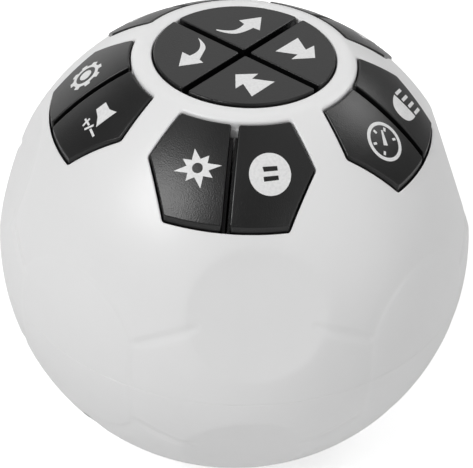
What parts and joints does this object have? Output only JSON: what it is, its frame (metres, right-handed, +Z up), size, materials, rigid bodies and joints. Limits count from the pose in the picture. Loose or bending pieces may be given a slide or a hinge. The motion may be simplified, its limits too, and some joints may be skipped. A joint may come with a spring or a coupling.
{
  "type": "motion controller",
  "caption": "White ball-shaped motion controller held in both hands, with round-cornered black keys: direction keys in its round crown and pairs of keys around it.",
  "frame": {"origin": "centre of the small flat under the ball, on the surface that the ball stands on", "axes": "+Z up through the middle of the crown; -Y out through the middle of the front pair of keys; +X to the right of somebody who faces the front pair"},
  "size_m": [0.1, 0.1, 0.0915],
  "materials": {
    "shell": "glossy white moulded plastic",
    "key": "fine-grained satin black",
    "slider": "satin black",
    "keypad_rubber": "matt silicone rubber",
    "board": "green solder mask on glass fibre",
    "chip": "matt moulding compound",
    "radio_can": "tinned, satin",
    "crystal_can": "drawn, bright",
    "capacitor_can": "sleeved",
    "connector": "natural nylon",
    "battery_lead": "soft sheath",
    "switch_lead": "soft sheath",
    "contact_metal": "nickel plated",
    "screw_metal": "zinc plated",
    "switch_body": "matt",
    "cell": "plain sleeve"
  },
  "bodies": {
    "housing": {"upper_shell": "shell", "lower_shell": "shell", "battery_door": "shell", "rubber_keypad": "keypad_rubber", "main_board": "board", "processor": "chip", "motion_sensor": "chip", "radio_module": "radio_can", "crystal": "crystal_can", "capacitor": "capacitor_can", "battery_socket": "connector", "battery_plug": "connector", "battery_leads": "battery_lead", "switch_socket": "connector", "switch_plug": "connector", "switch_leads": "switch_lead", "contact_plates": "contact_metal", "contact_springs": "contact_metal", "power_switch": "switch_body", "switch_screws": "screw_metal", "board_screws": "screw_metal", "shell_screws": "screw_metal", "door_screw": "screw_metal", "battery_cell_1": "cell", "battery_cell_2": "cell", "battery_cell_3": "cell"},
    "front_pair_left_key": {"front_pair_left_key": "key"},
    "front_pair_right_key": {"front_pair_right_key": "key"},
    "right_pair_left_key": {"right_pair_left_key": "key"},
    "right_pair_right_key": {"right_pair_right_key": "key"},
    "rear_right_pair_left_key": {"rear_right_pair_left_key": "key"},
    "rear_right_pair_right_key": {"rear_right_pair_right_key": "key"},
    "rear_left_pair_left_key": {"rear_left_pair_left_key": "key"},
    "rear_left_pair_right_key": {"rear_left_pair_right_key": "key"},
    "left_pair_left_key": {"left_pair_left_key": "key"},
    "left_pair_right_key": {"left_pair_right_key": "key"},
    "crown_front_key": {"crown_front_key": "key"},
    "crown_right_key": {"crown_right_key": "key"},
    "crown_rear_key": {"crown_rear_key": "key"},
    "crown_left_key": {"crown_left_key": "key"},
    "power_slider": {"power_slider": "slider"}
  },
  "joints": [
    {"name": "press_front_pair_left_key", "type": "slide", "parent": "housing", "child": "front_pair_left_key", "axis": [0, 0, -1], "range_m": [0, 0.0012], "stiffness_N_per_m": 900, "deforming": ["rubber_keypad"]},
    {"name": "press_front_pair_right_key", "type": "slide", "parent": "housing", "child": "front_pair_right_key", "axis": [0, 0, -1], "range_m": [0, 0.0012], "stiffness_N_per_m": 900, "deforming": ["rubber_keypad"]},
    {"name": "press_right_pair_left_key", "type": "slide", "parent": "housing", "child": "right_pair_left_key", "axis": [0, 0, -1], "range_m": [0, 0.0012], "stiffness_N_per_m": 900, "deforming": ["rubber_keypad"]},
    {"name": "press_right_pair_right_key", "type": "slide", "parent": "housing", "child": "right_pair_right_key", "axis": [0, 0, -1], "range_m": [0, 0.0012], "stiffness_N_per_m": 900, "deforming": ["rubber_keypad"]},
    {"name": "press_rear_right_pair_left_key", "type": "slide", "parent": "housing", "child": "rear_right_pair_left_key", "axis": [0, 0, -1], "range_m": [0, 0.0012], "stiffness_N_per_m": 900, "deforming": ["rubber_keypad"]},
    {"name": "press_rear_right_pair_right_key", "type": "slide", "parent": "housing", "child": "rear_right_pair_right_key", "axis": [0, 0, -1], "range_m": [0, 0.0012], "stiffness_N_per_m": 900, "deforming": ["rubber_keypad"]},
    {"name": "press_rear_left_pair_left_key", "type": "slide", "parent": "housing", "child": "rear_left_pair_left_key", "axis": [0, 0, -1], "range_m": [0, 0.0012], "stiffness_N_per_m": 900, "deforming": ["rubber_keypad"]},
    {"name": "press_rear_left_pair_right_key", "type": "slide", "parent": "housing", "child": "rear_left_pair_right_key", "axis": [0, 0, -1], "range_m": [0, 0.0012], "stiffness_N_per_m": 900, "deforming": ["rubber_keypad"]},
    {"name": "press_left_pair_left_key", "type": "slide", "parent": "housing", "child": "left_pair_left_key", "axis": [0, 0, -1], "range_m": [0, 0.0012], "stiffness_N_per_m": 900, "deforming": ["rubber_keypad"]},
    {"name": "press_left_pair_right_key", "type": "slide", "parent": "housing", "child": "left_pair_right_key", "axis": [0, 0, -1], "range_m": [0, 0.0012], "stiffness_N_per_m": 900, "deforming": ["rubber_keypad"]},
    {"name": "press_crown_front_key", "type": "slide", "parent": "housing", "child": "crown_front_key", "axis": [0, 0, -1], "range_m": [0, 0.0012], "stiffness_N_per_m": 900, "deforming": ["rubber_keypad"]},
    {"name": "press_crown_right_key", "type": "slide", "parent": "housing", "child": "crown_right_key", "axis": [0, 0, -1], "range_m": [0, 0.0012], "stiffness_N_per_m": 900, "deforming": ["rubber_keypad"]},
    {"name": "press_crown_rear_key", "type": "slide", "parent": "housing", "child": "crown_rear_key", "axis": [0, 0, -1], "range_m": [0, 0.0012], "stiffness_N_per_m": 900, "deforming": ["rubber_keypad"]},
    {"name": "press_crown_left_key", "type": "slide", "parent": "housing", "child": "crown_left_key", "axis": [0, 0, -1], "range_m": [0, 0.0012], "stiffness_N_per_m": 900, "deforming": ["rubber_keypad"]},
    {"name": "power_slide", "type": "slide", "parent": "housing", "child": "power_slider", "axis": [-0.9882, -0.153, 0], "range_m": [0, 0.003]}
  ]
}
